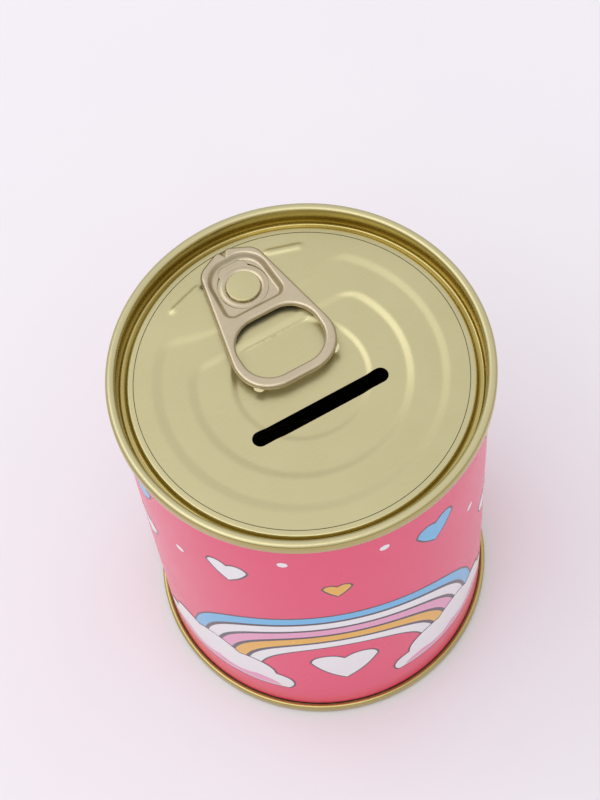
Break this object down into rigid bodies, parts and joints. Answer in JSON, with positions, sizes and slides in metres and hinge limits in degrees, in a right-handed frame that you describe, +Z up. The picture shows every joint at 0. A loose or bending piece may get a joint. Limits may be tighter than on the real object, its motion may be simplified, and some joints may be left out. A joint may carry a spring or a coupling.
{
  "type": "tin money box",
  "caption": "Round tin money box: a can with a printed wrap, a seamed base and a ring-pull lid whose tear panel has a coin slot.",
  "frame": {"origin": "on the floor plane, under the middle of the can", "axes": "+Z up along the can's axis, +X along the coin slot, +Y towards the nose of the pull tab"},
  "size_m": [0.076, 0.076, 0.0954],
  "materials": {
    "tube_tinplate": "lacquered tinplate, satin",
    "printed_wrap": "glossy printed film on paper",
    "lacquered_end": "gold lacquered tinplate, satin",
    "tab_metal": "champagne lacquered tinplate, satin",
    "sealing_compound": "matt rubber compound"
  },
  "bodies": {
    "can": {"can_body": "tube_tinplate", "printed_label": "printed_wrap", "bottom_end": "lacquered_end", "base_seam_seal": "sealing_compound", "lid_ring": "lacquered_end", "lid_seam_seal": "sealing_compound"},
    "panel": {"tear_panel": "lacquered_end", "tab_rivet": "tab_metal", "rivet_tongue": "tab_metal"},
    "tab": {"pull_tab": "tab_metal"}
  },
  "joints": [
    {"name": "panel_peel", "type": "hinge", "parent": "can", "child": "panel", "pos_m": [0, -0.0328, 0.0919], "axis": [1, 0, 0], "range_deg": [0, 85]},
    {"name": "tab_lift", "type": "hinge", "parent": "panel", "child": "tab", "pos_m": [0, 0.03155, 0.09285], "axis": [-1, 0, 0], "range_deg": [0, 90]}
  ]
}
